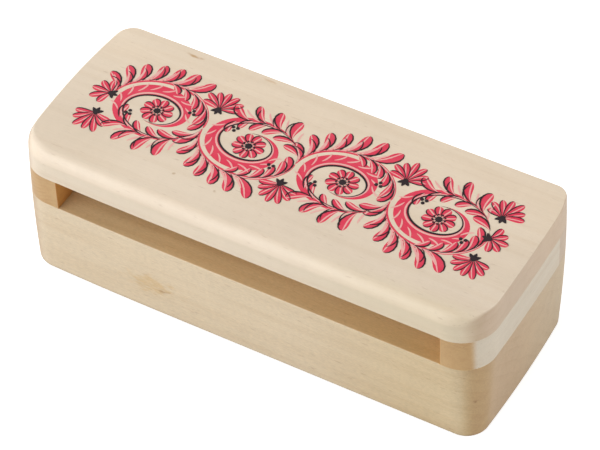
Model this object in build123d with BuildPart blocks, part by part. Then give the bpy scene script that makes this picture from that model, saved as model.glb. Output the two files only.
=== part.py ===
"""Woodblock: five boards glued face to face, then sanded to one rounded block with a slot along its front.

Origin at the middle of the underside. +X runs along the block, -Y is the slotted front, +Z is up.
"""

import os
from math import atan2, cos, sin, sqrt, tan

from build123d import *

# Boards
block_length = 170.0
block_depth = 67.0
foot_depth = 64.6
base_thickness = 31.3
slot_height = 12.2
plate_thickness = 11.0
left_spacer_width = 15.6
right_spacer_width = 14.1
rail_depth = 11.0

# Sanded outline: how far each end bulges at its middle, and the rounded corners and edges
left_crown = 2.4
right_crown = 0.6
end_barrel = 0.65
corner_radius = 7.0
front_corner_radius = 10.0
front_round = 4.4
top_ease = 0.6
bottom_ease = 0.8
slot_ease = 0.4
saw_margin = 5.0

slot_floor = base_thickness
slot_roof = slot_floor + slot_height
block_height = slot_roof + plate_thickness
half_length = block_length / 2
half_depth = block_depth / 2
half_height = block_height / 2
front_lean = atan2((block_depth - foot_depth) / 2, block_height)
rail_face = half_depth - rail_depth
slot_left = left_spacer_width - half_length
slot_right = half_length - right_spacer_width


def front_y(height):
    """Where the front stands at a height above the underside: it leans out a little towards the top."""
    return -foot_depth / 2 - height * tan(front_lean)


def saw_box(x_from, x_to, y_from, y_to, z_from, z_to):
    """Keep only what lies inside these limits of the part being made."""
    middle = ((x_from + x_to) / 2, (y_from + y_to) / 2, (z_from + z_to) / 2)
    with Locations(middle):
        Box(x_to - x_from, y_to - y_from, z_to - z_from, mode=Mode.INTERSECT)


# The sanded form that all five boards share
with BuildPart() as form:
    with BuildSketch(Plane.YZ):
        with BuildLine():
            foot_y = foot_depth / 2
            Polyline(
                (-foot_y, 0),
                (-half_depth, block_height),
                (half_depth, block_height),
                (foot_y, 0),
                close=True,
            )
        make_face()
    extrude(amount=half_length + saw_margin, both=True)

    # Each end is an arc in plan and bulges a little at mid height
    for side, crown in ((1, right_crown), (-1, left_crown)):
        end_radius = (half_depth**2 + crown**2) / (2 * crown)
        axis_x = side * (half_length - end_radius)
        edge_x = side * (half_length - end_barrel)
        with BuildSketch(Plane.XZ):
            with BuildLine():
                ThreePointArc((edge_x, 0), (side * half_length, half_height), (edge_x, block_height))
                Polyline((edge_x, block_height), (axis_x, block_height), (axis_x, 0), (edge_x, 0))
            make_face()
        revolve(axis=Axis((axis_x, 0, 0), (0, 0, 1)), mode=Mode.INTERSECT)

    # Upright corners, rounder at the front
    for side, radius in ((1, corner_radius), (-1, front_corner_radius)):
        uprights = form.edges().filter_by(lambda edge: edge.bounding_box().size.Z > half_height)
        fillet(uprights.filter_by(lambda edge: side * edge.center().Y > 0), radius)

    fillet(form.edges().group_by(Axis.Z)[-1], top_ease)
    fillet(form.edges().group_by(Axis.Z)[0], bottom_ease)

    # Round-over along the struck edge, tangent to the top and to the front
    arc_z = block_height - front_round
    arc_y = front_y(arc_z) + front_round / cos(front_lean)
    touch_z = arc_z - front_round * sin(front_lean)
    touch_y = front_y(touch_z)
    middle_y = arc_y - front_round * sqrt(0.5)
    middle_z = arc_z + front_round * sqrt(0.5)
    with BuildSketch(Plane.YZ):
        with BuildLine():
            ThreePointArc((touch_y, touch_z), (middle_y, middle_z), (arc_y, block_height))
            Polyline(
                (arc_y, block_height),
                (arc_y, block_height + saw_margin),
                (-half_depth - saw_margin, block_height + saw_margin),
                (-half_depth - saw_margin, touch_z),
                (touch_y, touch_z),
            )
        make_face()
    extrude(amount=half_length + saw_margin, both=True, mode=Mode.SUBTRACT)

outer_x = half_length + saw_margin
outer_y = half_depth + saw_margin

# Small bevels on the two arrises of the slot, between the spacers
with BuildPart() as slot_bevels:
    for height in (slot_floor, slot_roof):
        with BuildSketch(Plane.YZ.offset(slot_left)):
            with Locations((front_y(height), height)):
                Rectangle(slot_ease * sqrt(2), slot_ease * sqrt(2), rotation=45)
        extrude(amount=slot_right - slot_left)

with BuildPart() as base_block:
    add(form.part)
    saw_box(-outer_x, outer_x, -outer_y, outer_y, 0, slot_floor)
    add(slot_bevels.part, mode=Mode.SUBTRACT)

with BuildPart() as left_spacer:
    add(form.part)
    saw_box(-outer_x, slot_left, -outer_y, rail_face, slot_floor, slot_roof)

with BuildPart() as right_spacer:
    add(form.part)
    saw_box(slot_right, outer_x, -outer_y, rail_face, slot_floor, slot_roof)

with BuildPart() as back_rail:
    add(form.part)
    saw_box(-outer_x, outer_x, rail_face, outer_y, slot_floor, slot_roof)

with BuildPart() as top_plate:
    add(form.part)
    saw_box(-outer_x, outer_x, -outer_y, outer_y, slot_roof, block_height)
    add(slot_bevels.part, mode=Mode.SUBTRACT)

boards = {
    "base_block": base_block,
    "left_spacer": left_spacer,
    "right_spacer": right_spacer,
    "back_rail": back_rail,
    "top_plate": top_plate,
}

os.makedirs("parts", exist_ok=True)
for name, board in boards.items():
    board.part.label = name
    export_step(board.part, f"parts/{name}.step")
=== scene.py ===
from math import cos, pi, radians, sin

import bpy
import numpy as np
from mathutils import Matrix, Vector


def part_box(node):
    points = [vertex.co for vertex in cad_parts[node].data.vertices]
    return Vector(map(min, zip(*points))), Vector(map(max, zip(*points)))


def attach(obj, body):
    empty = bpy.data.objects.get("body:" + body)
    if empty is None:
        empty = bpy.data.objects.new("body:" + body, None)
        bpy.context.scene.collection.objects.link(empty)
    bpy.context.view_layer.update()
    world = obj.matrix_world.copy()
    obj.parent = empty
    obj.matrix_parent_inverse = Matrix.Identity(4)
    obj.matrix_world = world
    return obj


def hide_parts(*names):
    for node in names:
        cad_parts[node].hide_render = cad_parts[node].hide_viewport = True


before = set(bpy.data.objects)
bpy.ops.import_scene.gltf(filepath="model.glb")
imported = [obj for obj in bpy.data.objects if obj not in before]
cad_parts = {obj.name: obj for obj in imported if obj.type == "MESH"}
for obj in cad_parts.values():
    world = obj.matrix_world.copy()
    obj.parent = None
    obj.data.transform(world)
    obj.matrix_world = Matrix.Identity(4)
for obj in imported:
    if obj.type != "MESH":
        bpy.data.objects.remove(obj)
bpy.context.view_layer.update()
scene = bpy.context.scene
scene.view_settings.view_transform = "Standard"
mm = 0.001
print("frame loaded:", ", ".join(sorted(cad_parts)))


# Sizes of the glued block in millimetres: the saw cuts come from the frame, the sanding is set here

def nodeSpan(name):  # lowest and highest corner of a CAD board
    low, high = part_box(name)
    return np.round(np.array(low) / mm, 1), np.round(np.array(high) / mm, 1)


baseSpan, plateSpan = nodeSpan("base_block"), nodeSpan("top_plate")
block = {
    "halfLength": 85.0,
    "topDepth": 67.0,
    "footDepth": 64.6,                           # front and back lean out towards the top
    "height": plateSpan[1][2],
    "slotFloor": baseSpan[1][2],
    "slotRoof": plateSpan[0][2],
    "slotLeft": -nodeSpan("left_spacer")[1][0],  # inner face of each spacer
    "slotRight": nodeSpan("right_spacer")[0][0],
    "railFace": nodeSpan("back_rail")[0][1],     # front face of the rail at the back
    "rightCrown": 0.6,                           # bulge of each end in plan
    "leftCrown": 2.4,
    "frontLeftCrown": 1.6,
    "endBarrel": 0.65,                           # bulge of the ends at mid height
    "corners": np.array([                        # left and right, each front then back: foot and top radius
        [(8.0, 11.0), (6.4, 6.4)],
        [(7.6, 14.5), (8.3, 3.4)]]),
    "frontRecess": 1.0,                          # the front falls back this far towards its left end
    "recessStart": 0.4,                          # from this share of the half length on
    "rightFootBulge": 0.55,                      # the right end swells this far towards the middle of its foot
    "rightBackPull": 2.4,                        # and is sanded in this far at the top of its back corner
    "pullStart": 20.0,                           # from here to the back
    "frontRound": 4.4,                           # struck edge
    "roundStart": (0.8, 1.0),                    # left and right: walk t where its rounding starts
    "roundFull": (1.6, 1.95),                    # and where it is full
    "topEase": 0.6,
    "bottomEase": 0.8,
    "slotEase": 0.2,                             # arrises of the slot
    "jointEase": 0.07,                           # hairline where two boards meet
}
slotT = 2.25                                     # walk t where the side of a quarter reaches the slot
besideSlot = (2.249, 2.26)                       # last and first step beside it
cornerGap = 0.2                                  # least way from a corner to the slot
steps = {                                        # points along each stretch of a mesh
    "end": 12, "corner": 14, "side": 5, "front": 26,
    "plateWall": 14, "brow": 20, "heel": 9, "baseWall": 18, "stripWall": 10,
    "spacerBack": 9, "spacerCut": 6, "spacerInner": 16,
    "railSide": 4, "railBack": 24, "railEnd": 6, "railCut": 30,
}
flatShares = [0.05, 0.4, 0.75]                   # rings on a flat face, as shares of its edge
sharpTurn = radians(28)


def arcRadius(halfChord, rise):
    return (halfChord**2 + rise**2) / (2 * rise)


def sag(reach, radius):  # how far an arc has fallen away at a reach from its middle
    return radius - np.sqrt(radius**2 - reach**2)


def positive(sign):
    return np.asarray(sign) > 0


halfHeight = block["height"] / 2
frontSlope = (block["topDepth"] - block["footDepth"]) / 2 / block["height"]
endArc = arcRadius(halfHeight, block["endBarrel"])


# Plan of the sanded form at a height: the end is an arc about a far axis, the side is straight,
# and the corner is an arc tangent to both
def sandedForm(signX, signY, z):
    leftCrown = np.where(positive(signY), block["leftCrown"], block["frontLeftCrown"])
    crown = np.where(positive(signX), block["rightCrown"], leftCrown)
    radius = arcRadius(block["topDepth"] / 2, crown)
    axis = block["halfLength"] - radius
    end = radius - sag(z - halfHeight, endArc)
    side = block["footDepth"] / 2 + z * frontSlope
    radii = block["corners"][positive(signX).astype(int), positive(signY).astype(int)]
    corner = radii[..., 0] + (radii[..., 1] - radii[..., 0]) * z / block["height"]
    cornerY = side - corner
    cornerX = axis + np.sqrt((end - corner) ** 2 - cornerY**2)
    return axis, end, side, corner, cornerX, cornerY


def slotSide(signX):
    return np.where(positive(signX), block["slotRight"], block["slotLeft"])


# The right end is sanded in by the square of the way to its back corner, and more towards the top
def backPull(signX, signY, y, z):
    way = np.clip((y - block["pullStart"]) / (block["topDepth"] / 2 - block["pullStart"]), 0, 1)
    return (positive(signX) & positive(signY)) * block["rightBackPull"] * way**2 * z / block["height"]


# A point of the outline by its walk t: 0 to 1 along the end, 1 to 2 round the corner, from 2 along the side to
# the slot, and to 3 at the middle. signX and signY pick the quarter
def outline(t, signX, signY, z, inset=0.0):
    axis, end, side, corner, cornerX, cornerY = sandedForm(signX, signY, z)
    meet = np.arctan2(cornerY, cornerX - axis)
    endTurn = np.clip(t, 0, 1) * meet
    cornerTurn = meet + np.clip(t - 1, 0, 1) * (pi / 2 - meet)
    endX, endY = axis + (end - inset) * np.cos(endTurn), (end - inset) * np.sin(endTurn)
    turnX = cornerX + (corner - inset) * np.cos(cornerTurn)
    turnY = cornerY + (corner - inset) * np.sin(cornerTurn)
    slotX = np.minimum(slotSide(signX), cornerX - cornerGap)
    toSlot = cornerX + (slotX - cornerX) * (t - 2) / (slotT - 2)
    sideX = np.where(t < slotT, toSlot, slotX * (3 - t) / (3 - slotT))
    x = np.where(t < 1, endX, np.where(t < 2, turnX, sideX))
    y = np.where(t < 1, endY, np.where(t < 2, turnY, side - inset))

    across = np.clip(y / side, 0, 1) ** 2
    start = block["recessStart"]
    fall = np.clip(x / block["halfLength"] - start, 0, 1) / (1 - start) * across
    recess = ~positive(signX) & ~positive(signY)
    bulge = np.clip(1 - z / halfHeight, 0, 1) ** 2 * (1 - across) * np.where(t < 2, positive(signX), 0)
    pull = backPull(signX, signY, y, z) * np.clip((slotT - t) / (slotT - 2), 0, 1)
    x = x + block["rightFootBulge"] * bulge - pull
    return signX * x, signY * (y - recess * block["frontRecess"] * fall**2)


def wholeWalk():  # all four quarters, counterclockwise from the middle of the right end
    go = np.concatenate([
        np.linspace(0, 1, steps["end"], endpoint=False),
        np.linspace(1, 2, steps["corner"], endpoint=False),
        np.linspace(2, besideSlot[0], steps["side"]),
        np.linspace(besideSlot[1], 3, steps["front"])])
    back = go[::-1]
    counts = [len(go), len(go) - 1, len(go) - 1, len(go) - 2]
    t = np.concatenate([go, back[1:], go[1:], back[1:-1]])
    return t, np.repeat([1, -1, -1, 1], counts), np.repeat([1, 1, -1, -1], counts)


def level(x, y, z):
    return np.stack([x, y, np.broadcast_to(z, np.shape(x))], -1)


def shrunk(ring, shares):  # rings drawn in to the middle of a flat face
    middle = ring.mean(0) * [1, 1, 0] + [0, 0, 1] * ring
    return [middle + (ring - middle) * share for share in shares]


def closed(rings):  # with the flat faces below and above
    return [*shrunk(rings[0], flatShares), *rings, *shrunk(rings[-1], flatShares[::-1])]


# A closed board from rings that run from the middle of the underside, out, up the walls and in over the top.
# The sawn faces, flat below or above, are shaded flat
def boardMesh(name, rings, flatBelow, flatAbove):
    grid = np.array(rings)
    rows, count = grid.shape[:2]
    points = np.vstack([grid.reshape(-1, 3), grid[[0, -1]].mean(1)]) * mm
    here = np.arange(count)
    ahead = np.roll(here, -1)
    start = (np.arange(rows - 1) * count)[:, None]
    above = start + count
    walls = np.stack([start + here, start + ahead, above + ahead, above + here], -1).reshape(-1, 4)
    last = (rows - 1) * count
    under = np.stack([ahead, here, np.full(count, rows * count)], -1)
    over = np.stack([last + here, last + ahead, np.full(count, rows * count + 1)], -1)
    mesh = bpy.data.meshes.new(name)
    mesh.from_pydata(points.tolist(), [], walls.tolist() + under.tolist() + over.tolist())
    band = np.concatenate([np.repeat(np.arange(rows - 1), count), np.zeros(count), np.full(count, rows)])
    flat = (flatBelow & (band < len(flatShares))) | (flatAbove & (band >= rows - 1 - len(flatShares)))
    mesh.set_sharp_from_angle(angle=sharpTurn)
    mesh.polygons.foreach_set("use_smooth", ~flat)
    return mesh


def addPiece(name, mesh, material, replaces=None):
    piece = bpy.data.objects.new(name, mesh)
    scene.collection.objects.link(piece)
    mesh.materials.append(material)
    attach(piece, "root")
    if replaces:
        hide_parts(replaces)
    print(f"{name}: {len(mesh.vertices)} points, {len(mesh.polygons)} faces")


walkT, walkX, walkY = wholeWalk()
arris = np.where((walkT > slotT) & (walkY < 0), block["slotEase"], block["jointEase"])


def around(z, inset=0.0):
    return level(*outline(walkT, walkX, walkY, z, inset), z)


# The top edge is a quarter circle whose radius is wide along the front and dies out round the front corners
def plateRings():
    low, high = block["slotRoof"], block["height"]
    begin, full = (np.where(walkX > 0, right, left) for left, right in (block["roundStart"], block["roundFull"]))
    fade = np.clip((walkT - begin) / (full - begin), 0, 1)
    fade = np.where(walkY < 0, fade**2 * (3 - 2 * fade), 0.0)
    radius = block["topEase"] + (block["frontRound"] - block["topEase"]) * fade
    rise = high - radius - low - arris
    walls = [around(low + arris + rise * share) for share in np.linspace(0, 1, steps["plateWall"])]
    turns = np.linspace(0, pi / 2, steps["brow"])[1:]
    brow = [around(high - radius * (1 - sin(turn)), radius * (1 - cos(turn))) for turn in turns]
    return closed([around(low, arris), *walls, *brow])


def baseRings():
    ease, high = block["bottomEase"], block["slotFloor"]
    turns = np.linspace(0, pi / 2, steps["heel"])
    heel = [around(ease * (1 - cos(turn)), ease * (1 - sin(turn))) for turn in turns]
    rise = high - arris - ease
    walls = [around(ease + rise * share) for share in np.linspace(0, 1, steps["baseWall"])[1:]]
    return closed([*heel, *walls, around(np.full(len(walkT), high), arris)])


# A strip between base and plate: its outer walk follows the sanded form, its cuts are straight
def stripRings(plan):
    low, high, ease = block["slotFloor"], block["slotRoof"], block["jointEase"]
    walls = [(z, 0.0) for z in np.linspace(low + ease, high - ease, steps["stripWall"])]
    return closed([level(*plan(z, inset), z) for z, inset in ((low, ease), *walls, (high, ease))])


def endEdge(signX, y, z, inset):
    axis, end = sandedForm(signX, 1, z)[:2]
    return axis + np.sqrt((end - inset) ** 2 - y**2) - backPull(signX, 1, y, z)


def spacerPlan(signX):
    def plan(z, inset):
        t = np.concatenate([
            np.linspace(slotT, 2, steps["side"]),
            np.linspace(2, 1, steps["corner"])[1:],
            np.linspace(1, 0, steps["end"])[1:]])
        x, y = outline(t, signX, -1, z, inset)
        inner, cut = slotSide(signX) + inset, block["railFace"] - inset
        x = x * signX
        x[0] = inner
        backY = np.linspace(0, cut, steps["spacerBack"])[1:]
        backX = endEdge(signX, backY, z, inset)
        cutX = np.linspace(backX[-1], inner, steps["spacerCut"])[1:]
        innerY = np.linspace(cut, y[0], steps["spacerInner"])[1:-1]
        x = np.concatenate([x, backX, cutX, np.full(len(innerY), inner)])
        y = np.concatenate([y, backY, np.full(len(cutX), cut), innerY])
        return (x, y) if signX > 0 else (-x[::-1], y[::-1])
    return plan


def railPlan(z, inset):
    cut = block["railFace"] + inset
    t = np.concatenate([
        np.linspace(1, 2, steps["corner"])[:-1],
        np.linspace(2, slotT, steps["railSide"])[:-1],
        np.linspace(slotT, 3, steps["railBack"])])
    halves = []
    for signX in (1, -1):
        x, y = outline(t, signX, 1, z, inset)
        rising = np.linspace(cut, y[0], steps["railEnd"])[:-1]
        endX = signX * endEdge(signX, rising, z, inset)
        halves.append((np.concatenate([endX, x]), np.concatenate([rising, y])))
    (rightX, rightY), (leftX, leftY) = halves
    cutX = np.linspace(leftX[0], rightX[0], steps["railCut"])[1:-1]
    x = np.concatenate([rightX, leftX[::-1][1:], cutX])
    return x, np.concatenate([rightY, leftY[::-1][1:], np.full(len(cutX), cut)])


# Shader helpers

def addNode(tree, kind, values=None, **settings):
    node = tree.nodes.new("ShaderNode" + kind)
    for key, value in settings.items():
        setattr(node, key, value)
    return feed(tree, node, values or {})


def feed(tree, node, values):
    for key, value in values.items():
        if isinstance(value, bpy.types.NodeSocket):
            tree.links.new(value, node.inputs[key])
        else:
            node.inputs[key].default_value = value
    return node


def calc(tree, operation, first, second=0.0, clamp=False):
    return addNode(tree, "Math", {0: first, 1: second}, operation=operation, use_clamp=clamp).outputs[0]


def vectorCalc(tree, operation, *values, output=0):
    return addNode(tree, "VectorMath", dict(enumerate(values)), operation=operation).outputs[output]


def scaledSum(tree, *pairs):  # each pattern times its amount, added up
    total = 0.0
    for pattern, amount in pairs:
        total = calc(tree, "ADD", calc(tree, "MULTIPLY", pattern, amount), total)
    return total


def ramp(tree, value, low, high, outLow=0.0, outHigh=1.0):
    values = {"Value": value, "From Min": low, "From Max": high, "To Min": outLow, "To Max": outHigh}
    return addNode(tree, "MapRange", values, interpolation_type="SMOOTHSTEP").outputs[0]


def mixColor(tree, factor, first, second, blend="MIX"):
    return addNode(tree, "Mix", {0: factor, 6: first, 7: second}, data_type="RGBA", blend_type=blend).outputs[2]


def noise(tree, vector, stretch, detail=2.0, roughness=0.5, output=0):
    scaled = vectorCalc(tree, "MULTIPLY", vector, stretch)
    values = {"Vector": scaled, "Scale": 1.0, "Detail": detail, "Roughness": roughness}
    return addNode(tree, "TexNoise", values).outputs[output]


def srgb(red, green, blue):
    share = np.array([red, green, blue]) / 255
    return (*np.where(share <= 0.04045, share / 12.92, ((share + 0.055) / 1.055) ** 2.4), 1.0)


def newGroup(name, inputs, outputs):
    group = bpy.data.node_groups.new(name, "ShaderNodeTree")
    kinds = {"v": "NodeSocketVector", "c": "NodeSocketColor", "f": "NodeSocketFloat"}
    for side, sockets in (("INPUT", inputs), ("OUTPUT", outputs)):
        for label, kind in sockets.items():
            group.interface.new_socket(label, in_out=side, socket_type=kinds[kind])
    return group, group.nodes.new("NodeGroupInput").outputs, group.nodes.new("NodeGroupOutput")


# Noise of the grain: how fast it changes per millimetre, along the grain and across, then detail and roughness
grainNoise = {
    "sway": ((0.006, 0.03, 0.03), 2.0, 0.5),
    "patch": ((0.02, 0.07, 0.07), 2.0, 0.5),
    "fibre": ((0.06, 3.2, 3.2), 3.0, 0.6),
    "streak": ((0.014, 0.3, 0.3), 4.0, 0.6),
    "mottle": ((0.022, 0.05, 0.05), 3.0, 0.6),
    "curl": ((0.35, 0.12, 0.12), 2.0, 0.5),
    "fleck": ((0.22, 1.5, 1.5), 1.0, 0.5),
    "pore": ((0.5, 4.5, 4.5), 1.0, 0.5),
    "speckle": ((0.7, 2.2, 2.2), 2.0, 0.7),
}
grainLook = {
    "swayReach": (0, 9, 9),       # millimetres that the rings wander
    "ringFall": 3.0,              # power of the way out across a ring
    "patch": (0.35, 0.65),        # where each noise starts to show and where it is full
    "streak": (0.4, 0.74),
    "fleck": (0.68, 0.8),
    "pore": (0.62, 0.74),
    "poreShare": 0.35,
    "bright": 0.875,
    "fibreBright": 0.07,
    "mottleBright": 0.14,
    "curlBright": 0.05,
    "rough": 0.38,
    "fibreRough": 0.12,
    "endRough": 0.1,
    "fibreHeight": 0.7,
    "ringHeight": 0.2,
}
woodSockets = {"pale": "c", "tan": "c", "fleck": "c", "cut": "c", "ringGap": "f", "rings": "f", "streaks": "f",
               "flecks": "f", "speckle": "f", "endRings": "f", "turn": "f", "soft": "f"}


# Pale close-grained wood: rings about a pith, fine fibre, short flecks and a darker cut across the grain.
# The vector is in millimetres, with x along the grain and the pith at the origin
def paleGrainGroup():
    group, given, out = newGroup("paleGrain", {"vector": "v", "across": "v", **woodSockets},
                                 {"Color": "c", "Roughness": "f", "Height": "f"})
    vector = given["vector"]

    def grainOf(name, output=0):
        return noise(group, vector, *grainNoise[name], output)

    def shows(name):
        return ramp(group, grainOf(name), *grainLook[name])

    shift = vectorCalc(group, "MULTIPLY_ADD", grainOf("sway", 1), grainLook["swayReach"], vector)
    reach = vectorCalc(group, "LENGTH", vectorCalc(group, "MULTIPLY", shift, (0, 1, 1)), output=1)
    ring = calc(group, "FRACT", calc(group, "DIVIDE", reach, given["ringGap"]))
    ring = calc(group, "MULTIPLY", calc(group, "POWER", ring, grainLook["ringFall"]), shows("patch"))
    fibre, mottle, curl = grainOf("fibre"), grainOf("mottle"), grainOf("curl")
    fleck = calc(group, "MAXIMUM", shows("fleck"), calc(group, "MULTIPLY", shows("pore"), grainLook["poreShare"]))

    normal = addNode(group, "TexCoord").outputs["Normal"]
    facing = vectorCalc(group, "DOT_PRODUCT", normal, given["across"], output=1)
    turned = calc(group, "SUBTRACT", calc(group, "ABSOLUTE", facing), given["turn"])
    end = ramp(group, calc(group, "DIVIDE", turned, given["soft"]), -1.0, 1.0)
    shown = calc(group, "ADD", given["rings"], calc(group, "MULTIPLY", end, given["endRings"]))
    color = mixColor(group, calc(group, "MULTIPLY", ring, shown, True), given["pale"], given["tan"])
    color = mixColor(group, calc(group, "MULTIPLY", shows("streak"), given["streaks"]), color, given["tan"])
    color = mixColor(group, calc(group, "MULTIPLY", fleck, given["flecks"]), color, given["fleck"])
    speckle = calc(group, "SUBTRACT", grainOf("speckle"), 0.5)
    bright = scaledSum(group, (fibre, grainLook["fibreBright"]), (mottle, grainLook["mottleBright"]),
                       (curl, grainLook["curlBright"]), (speckle, given["speckle"]))
    bright = calc(group, "ADD", bright, grainLook["bright"])
    color = addNode(group, "VectorMath", {0: color, "Scale": bright}, operation="SCALE").outputs[0]
    color = mixColor(group, end, color, given["cut"], "MULTIPLY")

    rough = scaledSum(group, (fibre, grainLook["fibreRough"]), (end, grainLook["endRough"]))
    height = scaledSum(group, (fibre, grainLook["fibreHeight"]), (ring, -grainLook["ringHeight"]))
    feed(group, out, {"Color": color, "Roughness": calc(group, "ADD", rough, grainLook["rough"]), "Height": height})
    return group


grain = paleGrainGroup()
lacquer = {"Specular IOR Level": 0.35, "Coat Weight": 0.85, "Coat Roughness": 0.46}
grainBump = {"Strength": 0.15, "Distance": 0.0001}
markEdge = {
    "stretch": (300, 900, 900),   # changes per metre
    "wander": 2.0,
    "skin": 1.0,                  # reach where a mark starts to show, as a share of its radii
    "full": 0.1,
}


def startMaterial(name):
    material = bpy.data.materials.new(name)
    material.use_nodes = True
    tree = material.node_tree
    return material, tree, tree.nodes["Principled BSDF"]


def grainVector(tree, along, pith):  # object coordinates in millimetres, x turned along the grain, pith at the origin
    coords = addNode(tree, "TexCoord").outputs["Object"]
    turn = 0.0 if along == "x" else -pi / 2
    values = {"Vector": coords, "Location": pith, "Rotation": (0, 0, turn), "Scale": (1000, 1000, 1000)}
    return addNode(tree, "Mapping", values).outputs[0]


# A tone of one part of a board: it comes in from one level of an axis to another, along each axis given
def addTone(tree, color, tone, ramps):
    coords = addNode(tree, "SeparateXYZ", {0: addNode(tree, "TexCoord").outputs["Object"]}).outputs
    mask = 1.0
    for axis, start, full in ramps:
        mask = calc(tree, "MULTIPLY", ramp(tree, coords[axis], start * mm, full * mm), mask)
    return mixColor(tree, mask, color, (*tone, 1), "MULTIPLY")


# A stain, fleck or pin knot: an ellipsoid that fades to its skin, with a wandering edge
def addMark(tree, color, tone, centre, radii):
    coords, radii = addNode(tree, "TexCoord").outputs["Object"], np.array(radii)
    values = {"Vector": coords, "Location": -np.array(centre) / radii, "Scale": 1 / (radii * mm)}
    reach = vectorCalc(tree, "LENGTH", addNode(tree, "Mapping", values).outputs[0], output=1)
    edge = calc(tree, "SUBTRACT", noise(tree, coords, markEdge["stretch"]), 0.5)
    reach = calc(tree, "ADD", reach, calc(tree, "MULTIPLY", edge, markEdge["wander"]))
    return mixColor(tree, ramp(tree, reach, markEdge["skin"], markEdge["full"]), color, (*tone, 1), "MULTIPLY")


def boardMaterial(name, wood):
    material, tree, shader = startMaterial(name)
    figure = tree.nodes.new("ShaderNodeGroup")
    figure.node_tree = grain
    feed(tree, figure, {
        "vector": grainVector(tree, wood["along"], wood["pith"]),
        "across": (1, 0, 0) if wood["along"] == "x" else (0, 1, 0),
        **{label: wood[label] for label in woodSockets}})
    color = figure.outputs["Color"]
    for tone, ramps in wood["tones"]:
        color = addTone(tree, color, tone, ramps)
    for tone, centre, radii in wood["marks"]:
        color = addMark(tree, color, tone, centre, radii)
    bump = addNode(tree, "Bump", {**grainBump, "Height": figure.outputs["Height"]})
    feed(tree, shader, {"Base Color": color, "Roughness": figure.outputs["Roughness"],
                        "Normal": bump.outputs[0], **lacquer})
    return material


skinDepth = (0.06, 0.01)  # millimetres under a sawn face where its tone starts and is full; inside the slot this tone is partly painted shade and bounce light


def skin(axis, face, side):
    start, full = skinDepth
    return axis, face - side * start, face - side * full


floorSkin = skin("Z", block["slotFloor"], 1)
plateWood = {
    "along": "x", "pith": (0, 18, 95),
    "pale": srgb(224, 207, 185), "tan": srgb(206, 182, 152),
    "fleck": srgb(150, 112, 76), "cut": srgb(222, 211, 200),
    "ringGap": 5.2, "rings": 0.16, "streaks": 0.22, "flecks": 0.25, "speckle": 0.06,
    "endRings": 0.1, "turn": 0.62, "soft": 0.2,
    "tones": [
        (srgb(244, 228, 200)[:3], [skin("Z", block["slotRoof"], -1)]),                # slot roof
        ((0.95, 0.95, 0.88), [("X", 0, 70), ("Y", -24, -32)]),                        # right of the front: darker and warmer, painted shade of the light falling off to the right, partly wood tone
        ((0.94, 0.93, 0.91), [("X", -35, -65), ("Y", -2, -20), ("Z", 53.6, 54.3)]),   # left of the top
        ((0.925, 0.935, 0.925), [("Y", -30, -33), ("Z", 51.5, 49.5)]),                # front, under its round: painted shade, darker below the struck edge
        ((1.06, 1.05, 1.03), [("Y", -8, 25)])],                                       # paler to the back
    "marks": [
        ((0.72, 0.56, 0.38), (-53.4, 30.2, block["height"]), (3.6, 0.8, 2)),          # flecks at the back
        ((0.84, 0.72, 0.56), (-25.5, 31.6, block["height"]), (3.0, 0.8, 2)),
        ((0.74, 0.65, 0.54), (-31.8, -20.0, block["height"]), (0.8, 0.7, 2)),         # specks to the front
        ((0.70, 0.61, 0.50), (-16.3, -20.6, block["height"]), (1.1, 0.7, 2))]}
baseWood = {
    "along": "x", "pith": (40, 70, 60),
    "pale": srgb(210, 191, 161), "tan": srgb(189, 161, 123),
    "fleck": srgb(158, 118, 80), "cut": srgb(228, 213, 197),
    "ringGap": 4.4, "rings": 0.22, "streaks": 0.3, "flecks": 0.42, "speckle": 0.4,
    "endRings": 0.1, "turn": 0.5, "soft": 0.26,
    "tones": [
        ((1.03, 0.895, 0.69), [floorSkin]),                            # warmer slot floor: partly bare wood, partly painted shade and warm bounce light
        ((0.91, 0.92, 0.94), [floorSkin, ("X", -25, -55)]),            # its left
        ((1.16, 1.18, 1.20), [floorSkin, ("Y", -31, -22)]),            # its depth: painted light, paler deeper in to offset the shade under the plate
        ((0.92, 0.885, 0.76), [("X", 15, 70), ("Y", -18, -29)]),       # darker and warmer to the right of the front: painted shade of the light falling off to the right, partly wood tone
        ((1.0, 0.97, 0.86), [("X", 77, 81), ("Y", -22, -27)]),         # and round the corner, the same painted shade
        ((1.10, 1.21, 1.33), [("X", 76, 83), ("Y", -15, 25)]),         # painted light: paler to the back of the right end, as if lit from behind
        ((1.05, 1.06, 1.09), [("X", 72, 80), ("Y", 22, 30)])],         # and a painted highlight at its back corner
    "marks": [
        ((0.92, 0.82, 0.64), (-34.5, -32.8, 12.6), (12, 8, 5)),        # stain
        ((0.66, 0.50, 0.34), (-30.2, -32.8, 11.4), (4.2, 6, 0.9)),     # streak in it
        ((0.60, 0.45, 0.28), (82.3, -29.8, 16.5), (1.2, 1.4, 1.1))]}   # pin knot
railWood = {
    "along": "x", "pith": (-30, -50, 80),
    "pale": srgb(216, 202, 182), "tan": srgb(199, 175, 143),
    "fleck": srgb(146, 106, 68), "cut": srgb(230, 218, 209),
    "ringGap": 3.8, "rings": 0.2, "streaks": 0.25, "flecks": 0.4, "speckle": 0.2,
    "endRings": 0.1, "turn": 0.64, "soft": 0.15,
    "tones": [(srgb(244, 226, 196)[:3], [skin("Y", block["railFace"], -1)])],  # back of the slot
    "marks": []}
spacerWood = {
    "along": "y", "pith": (0, 0, 260),
    "pale": srgb(206, 193, 172), "tan": srgb(180, 150, 108),
    "fleck": srgb(140, 100, 62), "cut": srgb(232, 199, 147),
    "ringGap": 1.6, "rings": 0.08, "streaks": 0.25, "flecks": 0.3, "speckle": 0.2,
    "endRings": 0.9, "turn": 0.71, "soft": 0.08,
    "tones": [  # sides of the slot: strongly orange, partly bare wood, partly painted warm bounce light and shade
        ((1.38, 0.77, 0.25), [skin("X", -block["slotLeft"], 1), skin("X", block["slotRight"], -1)])],
    "marks": []}

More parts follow.
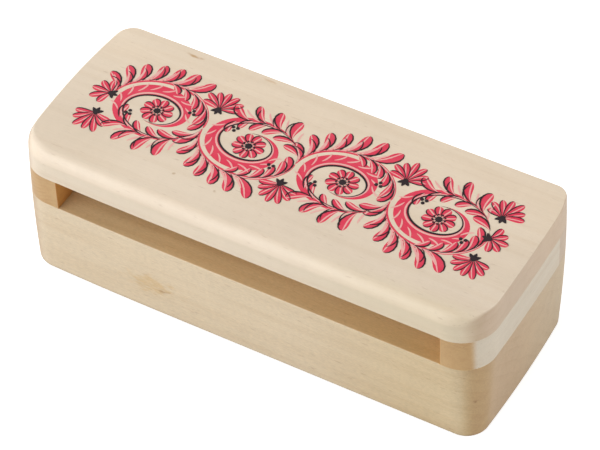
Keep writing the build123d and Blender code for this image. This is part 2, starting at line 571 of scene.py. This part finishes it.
baseMaple, spacerMaple, railMaple, plateMaple = (
    boardMaterial(name, wood) for name, wood in (
        ("baseMaple", baseWood), ("spacerMaple", spacerWood), ("railMaple", railWood), ("plateMaple", plateWood)))
for name, rings, flatBelow, flatAbove, material, node, slot in (
        ("baseBoard", baseRings(), False, True, baseMaple, "base_block", "base_wood"),
        ("leftStrip", stripRings(spacerPlan(-1)), True, True, spacerMaple, "left_spacer", "spacer_wood"),
        ("rightStrip", stripRings(spacerPlan(1)), True, True, spacerMaple, "right_spacer", "spacer_wood"),
        ("backStrip", stripRings(railPlan), True, True, railMaple, "back_rail", "rail_wood"),
        ("strikingPlate", plateRings(), True, False, plateMaple, "top_plate", "plate_wood")):
    addPiece(name, boardMesh(name, rings, flatBelow, flatAbove), material, node)
print("boards made")


# Printed scroll on the plate: a wave of half ellipses, one to a bay, with a spiral branch in each bay.
# Strokes are paths in millimetres, as arrays of (stroke, step, xy), with a width at each step

scroll = {
    "middle": (0.3, 2.0),
    "bays": 4,
    "reach": 17.2,        # half a bay along the block
    "rise": 13.5,         # height of the wave
    "turns": 1.3,
    "coil": 0.58,         # how far the spiral draws in
    "coilPower": 0.9,
    "vary": 0.1,
    "points": 60,         # along the wave and the branch
    "ahead": 0.001,       # share of a path over which its heading is taken
    "vineWidth": 1.5,
    "branchWidth": 5.0,
}
taper = {                 # powers of a form's swell from its start and to its end, and points along it
    "vine": (0.15, 0.15, scroll["points"]),
    "branch": (0.9, 0.8, scroll["points"]),
    "leaf": (1.3, 0.6, 10),
    "shoot": (0.6, 0.5, 10),
    "palmette": (1.0, 0.5, 10),
    "sepal": (0.5, 0.8, 7),
    "rosette": (1.1, 0.5, 10),
    "dot": (0.5, 0.5, 8),
}
trimTaper = (0.7, 0.5)
trim = {                  # thin strokes on a form: how far out, as a share of its width, and how wide
    "vinePink": (0.15, 0.5),
    "branchPink": (0.3, 0.7),
    "branchBlack": (0.5, 0.7),
    "leafPink": (0.2, 0.55),
    "leafBlack": (0.48, 0.55),
    "palmettePink": (0.1, 0.4),
    "palmetteBlack": (0.46, 0.35),
    "rosettePink": (0.1, 0.5),
    "rosetteBlack": (0.5, 0.4),
}
random = np.random.default_rng(7)


# Width along a stroke: a power of the way from its start times a power of the way to its end, one at the widest
def swell(early, late, count):
    share = 0.5 - 0.5 * np.cos(np.linspace(0, pi, count))
    peak = early / (early + late)
    return share, (share / peak) ** early * ((1 - share) / (1 - peak)) ** late


# A bent petal: the heading turns evenly along it
def petals(start, heading, length, bend, width, kind):
    count = len(heading)
    share, shape = swell(*taper[kind])
    turn = heading[:, None] + np.broadcast_to(bend, count)[:, None] * share
    middle = (turn[:, 1:] + turn[:, :-1]) / 2
    step = np.diff(share) * np.broadcast_to(length, count)[:, None]
    walk = np.cumsum(np.stack([np.cos(middle), np.sin(middle)], -1) * step[..., None], 1)
    path = start[:, None] + np.concatenate([np.zeros((count, 1, 2)), walk], 1)
    return path, np.broadcast_to(width, count)[:, None] * shape


def normals(path):
    along = np.gradient(path, axis=1)
    along = along / np.linalg.norm(along, axis=-1, keepdims=True)
    return np.stack([-along[..., 1], along[..., 0]], -1)


def beside(stroke, side, share, width):  # a thin stroke along one edge of another
    path, span = stroke
    thin = swell(*trimTaper, path.shape[1])[1] * width
    return path + side * normals(path) * (span * share)[..., None], np.broadcast_to(thin, span.shape)


def dots(centre, radius):
    start = centre - [radius, 0]
    return petals(start, np.zeros(len(centre)), 2 * radius, 0.0, 2 * radius, "dot")


def curve(place, width, kind):  # one long stroke along a path
    x, y = place(np.linspace(0, 1, scroll["points"]))
    return np.stack([x, y], -1)[None], width * swell(*taper[kind])[1][None]


def spread(values):  # hand-drawn variation
    return values * (1 + scroll["vary"] * random.uniform(-1, 1, np.shape(values)))


def vinePath(share):
    return -scroll["reach"] * np.cos(share * pi), scroll["rise"] * np.sin(share * pi)


def branchPath(share):
    turn, draw = share * scroll["turns"] * 2 * pi, 1 - scroll["coil"] * share ** scroll["coilPower"]
    return scroll["reach"] * draw * np.cos(turn), -scroll["rise"] * draw * np.sin(turn)


def along(place, shares):  # points on a path and the way it heads there
    x, y = place(shares)
    aheadX, aheadY = place(shares + scroll["ahead"])
    return np.stack([x, y], -1), np.arctan2(aheadY - y, aheadX - x)


# Path, where on it from, to and how many, side, lean and curl in degrees, first and last length and width
leafRows = (
    (vinePath, (0.05, 0.56, 7), 1, 22, 62, (9.0, 10.4), (3.2, 3.8)),
    (branchPath, (0.10, 0.24, 4), 1, 22, 62, (9.4, 8.4), (3.4, 3.0)),
    (vinePath, (0.46, 0.86, 6), -1, 18, 60, (6.0, 9.0), (2.3, 2.9)),
    (branchPath, (0.03, 0.28, 6), -1, 18, 56, (8.0, 6.5), (2.7, 2.3)),
)
# The same for thin shoots, all to one side, with their ink first and one length and width
shootRows = (
    ("pink", vinePath, (0.02, 0.52, 7), 16, 40, 8.0, 0.7),
    ("pink", branchPath, (0.07, 0.21, 4), 16, 40, 7.5, 0.7),
    ("black", vinePath, (0.09, 0.52, 6), 34, 84, 7.0, 0.4),
    ("black", branchPath, (0.13, 0.21, 3), 34, 84, 6.5, 0.4),
    ("pink", branchPath, (0.32, 0.72, 10), 6, 44, 4.8, 0.6),
)


# Leaves that leave a path at a slant and curl away from it to one side, each with a dark edge and a pale vein
def leaves(ink, place, shares, side, lean, curl, length, width):
    shares = np.linspace(*shares)
    count = len(shares)
    start, way = along(place, shares)
    aim = way + side * spread(np.full(count, radians(lean)))
    size = spread(np.linspace(*length, count))
    blade = petals(start, aim, size, side * radians(curl), spread(np.linspace(*width, count)), "leaf")
    ink["red"].append(blade)
    ink["black"].append(beside(blade, -side, *trim["leafBlack"]))
    ink["pink"].append(beside(blade, side, *trim["leafPink"]))


# Thin strokes from a path: shoots between the leaves, or tendrils
def shoots(strokes, place, shares, lean, curl, length, width):
    shares = np.linspace(*shares)
    start, way = along(place, shares)
    aim = way + spread(np.full(len(shares), radians(lean)))
    strokes.append(petals(start, aim, spread(np.full(len(shares), length)), radians(curl), width, "shoot"))


flower = {
    "outer": 0.2,                          # how much shorter the outermost petals are
    "bend": 0.5,
    "sepals": np.array([-0.9, 0.0, 0.9]),
    "sepalLength": 2.6,
    "sepalWidth": 1.3,
    "bud": 1.0,
    "foot": 0.74,                          # share of the height of the wave
    "gap": 0.5,
    "side": (7, radians(62), 8.6, 2.5),    # petals, half opening, length and width beside the wave
    "end": (5, radians(58), 7.0, 2.5),     # and at its ends
}
rosette = {"petals": 9, "length": 4.6, "bend": 0.3, "width": 2.8, "eye": 1.2, "seed": 0.35, "seedRing": 2.1}
berries = {
    "places": np.array([[-0.46, -0.36], [0.62, 0.34]]),
    "bunch": np.array([[-0.8, -0.4], [0.8, -0.5], [0.1, 0.9]]),
    "radius": 0.62,
}


# A palmette: petals fanned about a heading, the middle one longest, with a dark calyx at its foot
def palmette(ink, foot, aim, count, opening, length, width):
    share = np.linspace(-1, 1, count)
    size = spread(length * (1 - flower["outer"] * share**2))
    starts = np.tile(foot, (count, 1))
    blades = petals(starts, aim + share * opening, size, flower["bend"] * share, width, "palmette")
    ink["red"].append(blades)
    ink["pink"].append(beside(blades, 1, *trim["palmettePink"]))
    ink["black"].append(beside(blades, -1, *trim["palmetteBlack"]))
    sepals = aim + pi + flower["sepals"]
    starts = np.tile(foot, (len(sepals), 1))
    ink["black"].append(petals(starts, sepals, flower["sepalLength"], 0.0, flower["sepalWidth"], "sepal"))
    ink["black"].append(dots(np.array([foot]), flower["bud"]))


def bayStrokes(first, last):
    ink = {"red": [], "pink": [], "black": []}
    reach, rise = scroll["reach"], scroll["rise"]
    vine = curve(vinePath, scroll["vineWidth"], "vine")
    branch = curve(branchPath, scroll["branchWidth"], "branch")
    ink["red"] += [vine, branch]
    ink["pink"] += [beside(vine, 1, *trim["vinePink"]), beside(branch, -1, *trim["branchPink"])]
    ink["black"].append(beside(branch, -1, *trim["branchBlack"]))
    for row in leafRows:
        leaves(ink, *row)
    for name, *row in shootRows:
        shoots(ink[name], *row)

    aims = np.linspace(0, 2 * pi, rosette["petals"], endpoint=False)
    outward = np.stack([np.cos(aims), np.sin(aims)], -1)
    blades = petals(outward, aims, rosette["length"], rosette["bend"], rosette["width"], "rosette")
    ink["red"].append(blades)
    ink["pink"].append(beside(blades, 1, *trim["rosettePink"]))
    ink["black"].append(beside(blades, -1, *trim["rosetteBlack"]))
    ink["black"].append(dots(np.zeros((1, 2)), rosette["eye"]))
    ink["black"].append(dots(outward * rosette["seedRing"], rosette["seed"]))

    foot = rise * flower["foot"]
    palmette(ink, np.array([reach, foot]), pi / 2, *flower["side"])
    for here, side, aim in ((first, -1, pi), (last, 1, 0.0)):
        if here:
            palmette(ink, np.array([side * (reach + flower["gap"]), 0.0]), aim, *flower["end"])
            palmette(ink, np.array([side * reach, -foot]), -pi / 2, *flower["side"])
    bunches = (berries["places"] * [reach, rise])[:, None] + berries["bunch"]
    ink["black"].append(dots(bunches.reshape(-1, 2), berries["radius"]))
    return ink


def wholeScroll():
    ink = {"red": [], "pink": [], "black": []}
    for bay in range(scroll["bays"]):
        flip = np.array([1, 1 - 2 * (bay % 2)])
        shift = np.array([(2 * bay - scroll["bays"] + 1) * scroll["reach"], 0]) + scroll["middle"]
        for name, strokes in bayStrokes(bay == 0, bay == scroll["bays"] - 1).items():
            levels = np.cumsum([0] + [len(path) for path, width in strokes]) + bay % 2 / 2
            ink[name] += [(path * flip + shift, width, first) for (path, width), first in zip(strokes, levels)]
    return ink


layer = {"sunk": 0.01, "tip": 0.01, "step": 0.0006, "thinnest": 0.02}  # millimetres


# Closed slabs of ink: a ring of four corners at each step, drawn to a point at both ends. No two lie level
def inkMesh(name, strokes, thickness):
    points, quads, tips, total = [], [], [], 0
    low = block["height"] - layer["sunk"]
    corner, turned = np.arange(4), np.roll(np.arange(4), -1)
    for path, width, first in strokes:
        edge = normals(path) * np.maximum(width, layer["thinnest"])[..., None] / 2
        left, right = (path + edge)[:, 1:-1], (path - edge)[:, 1:-1]
        rings = np.stack([left, left, right, right], 2)
        number, count = rings.shape[:2]
        high = block["height"] + thickness + (first + np.arange(number)) * layer["step"]
        heights = low + (high - low)[:, None, None] * np.broadcast_to([1, 0, 0, 1], rings.shape[:-1])
        solid = np.concatenate([rings, heights[..., None]], -1)
        endHeights = np.broadcast_to(high[:, None, None] - layer["tip"], (number, 2, 1))
        ends = np.concatenate([path[:, [0, -1]], endHeights], -1)
        points.append(np.concatenate([solid.reshape(number, -1, 3), ends], 1).reshape(-1, 3))

        here, ahead = (np.arange(count - 1)[:, None] * 4 + order for order in (corner, turned))
        wall = np.stack([here, here + 4, ahead + 4, ahead], -1).reshape(-1, 4)
        last, tipAt = (count - 1) * 4, count * 4
        foot = np.stack([np.full(4, tipAt), corner, turned], -1)
        tip = np.stack([np.full(4, tipAt + 1), last + turned, last + corner], -1)
        start = (total + np.arange(number) * (tipAt + 2))[:, None, None]
        quads.append((start + wall).reshape(-1, 4))
        tips.append((start + np.concatenate([foot, tip])).reshape(-1, 3))
        total += number * (tipAt + 2)
    faces = np.concatenate(quads).tolist() + np.concatenate(tips).tolist()
    mesh = bpy.data.meshes.new(name)
    mesh.from_pydata((np.concatenate(points) * mm).tolist(), [], faces)
    return mesh


inkFibre = {"stretch": (0.25, 4.0, 4.0), "shows": (0.3, 0.75)}
inkPatch = {"stretch": (0.12, 0.2, 0.2), "shows": (0.3, 0.7)}
inkGloss = {"specular": 0.3, "rough": 0.4, "fibreRough": 0.15}


# Ink on wood: the fibres of the plate break it up a little
def inkMaterial(name, ink):
    material, tree, shader = startMaterial(name)
    vector = grainVector(tree, "x", (0, 0, 0))
    fibre, patch = (ramp(tree, noise(tree, vector, look["stretch"]), *look["shows"]) for look in (inkFibre, inkPatch))
    thin = scaledSum(tree, (fibre, ink["worn"]), (patch, ink["worn"]))
    rough = calc(tree, "ADD", calc(tree, "MULTIPLY", fibre, inkGloss["fibreRough"]), inkGloss["rough"])
    feed(tree, shader, {"Base Color": mixColor(tree, thin, ink["full"], ink["thin"]),
                        "Specular IOR Level": inkGloss["specular"], "Roughness": rough})
    return material


redInk = {"full": srgb(219, 52, 80), "thin": srgb(226, 92, 108), "worn": 0.3, "thickness": 0.01}
pinkInk = {"full": srgb(234, 160, 158), "thin": srgb(228, 190, 176), "worn": 0.4, "thickness": 0.055}
blackInk = {"full": srgb(36, 29, 33), "thin": srgb(62, 48, 50), "worn": 0.3, "thickness": 0.1}
inked = wholeScroll()
for name, strokes, ink in (("Red", inked["red"], redInk), ("Pink", inked["pink"], pinkInk),
                           ("Black", inked["black"], blackInk)):
    mesh = inkMesh("print" + name, strokes, ink["thickness"])
    addPiece("print" + name, mesh, inkMaterial(name.lower() + "Ink", ink))
print("scroll printed")


# Floor, light and camera

studio = {
    "floor": 3.0,          # metres across
    "floorGrey": 0.8,
    "floorRough": 0.9,
    "floorGlow": 0.57,     # shown to the camera only
    "floorGap": 0.0001,    # below the block
    "nearest": 0.0015,     # light from a face nearer than this passes the floor, so the underside isn't black
    "ambient": 0.28,
    "lampAim": (0, 0, 0.03),
}
lamps = {                  # place and width in metres, power in watts
    "keyLight": ((-0.32, -0.67, 0.53), 0.95, 6.9),
    "rightLight": ((0.9, 0.35, 0.45), 0.6, 5.9),
    "leftLight": ((-1.0, 0.1, 0.6), 1.2, 7.4),
}
white = (1, 1, 1, 1)


def whiteFloor():
    half, low = studio["floor"] / 2, -studio["floorGap"]
    corners = [(x * half, y * half, low) for x, y in ((-1, -1), (1, -1), (1, 1), (-1, 1))]
    mesh = bpy.data.meshes.new("floor")
    mesh.from_pydata(corners, [], [(0, 1, 2, 3)])
    floor = bpy.data.objects.new("floor", mesh)
    scene.collection.objects.link(floor)
    material, tree, shader = startMaterial("paperFloor")
    path = addNode(tree, "LightPath").outputs
    glow = calc(tree, "MULTIPLY", path["Is Camera Ray"], studio["floorGlow"])
    feed(tree, shader, {"Base Color": (*[studio["floorGrey"]] * 3, 1), "Roughness": studio["floorRough"],
                        "Emission Color": white, "Emission Strength": glow})
    near = calc(tree, "LESS_THAN", path["Ray Length"], studio["nearest"])
    below = addNode(tree, "NewGeometry").outputs["Backfacing"]
    clear = addNode(tree, "BsdfTransparent").outputs[0]
    mixed = addNode(tree, "MixShader", {0: calc(tree, "MAXIMUM", near, below), 1: shader.outputs[0], 2: clear})
    tree.links.new(mixed.outputs[0], tree.nodes["Material Output"].inputs["Surface"])
    mesh.materials.append(material)


def whiteWorld():
    world = bpy.data.worlds.new("paleRoom")
    scene.world = world
    world.use_nodes = True
    tree = world.node_tree
    seen = addNode(tree, "LightPath").outputs["Is Camera Ray"]
    strength = ramp(tree, seen, 0, 1, studio["ambient"], 1.0)
    feed(tree, tree.nodes["Background"], {"Strength": strength, "Color": white})


def softbox(name, place, width, power):
    data = bpy.data.lights.new(name, "AREA")
    data.shape = "SQUARE"
    data.size = width
    data.energy = power
    lamp = bpy.data.objects.new(name, data)
    lamp.location = place
    lamp.rotation_euler = (Vector(studio["lampAim"]) - Vector(place)).to_track_quat("-Z", "Y").to_euler()
    scene.collection.objects.link(lamp)


whiteFloor()
whiteWorld()
for name, lamp in lamps.items():
    softbox(name, *lamp)

photoView = {
    "azimuth": 30.713,     # degrees, from straight in front towards the right end
    "elevation": 46.076,
    "roll": -1.677,
    "distance": 973.34,    # millimetres to the aim
    "aim": (1.454, 1.888, 27.25),
    "focal": 2994.9,       # in pixels of a frame this wide
    "frameWidth": 600,
    "sensor": 36.0,
}


def addCamera(view):
    turn, lift, roll = radians(view["azimuth"]), radians(view["elevation"]), radians(view["roll"])
    back = Vector((sin(turn) * cos(lift), -cos(turn) * cos(lift), sin(lift)))
    sideways = Vector((0, 0, 1)).cross(back).normalized()
    right = sideways * cos(roll) + back.cross(sideways) * sin(roll)
    data = bpy.data.cameras.new("photoCamera")
    data.sensor_width = view["sensor"]
    data.lens = view["focal"] / view["frameWidth"] * view["sensor"]
    camera = bpy.data.objects.new("photoCamera", data)
    axes = Matrix((right, back.cross(right), back)).transposed()
    place = (Vector(view["aim"]) + back * view["distance"]) * mm
    camera.matrix_world = Matrix.Translation(place) @ axes.to_4x4()
    scene.collection.objects.link(camera)
    scene.camera = camera


addCamera(photoView)
print("studio ready")
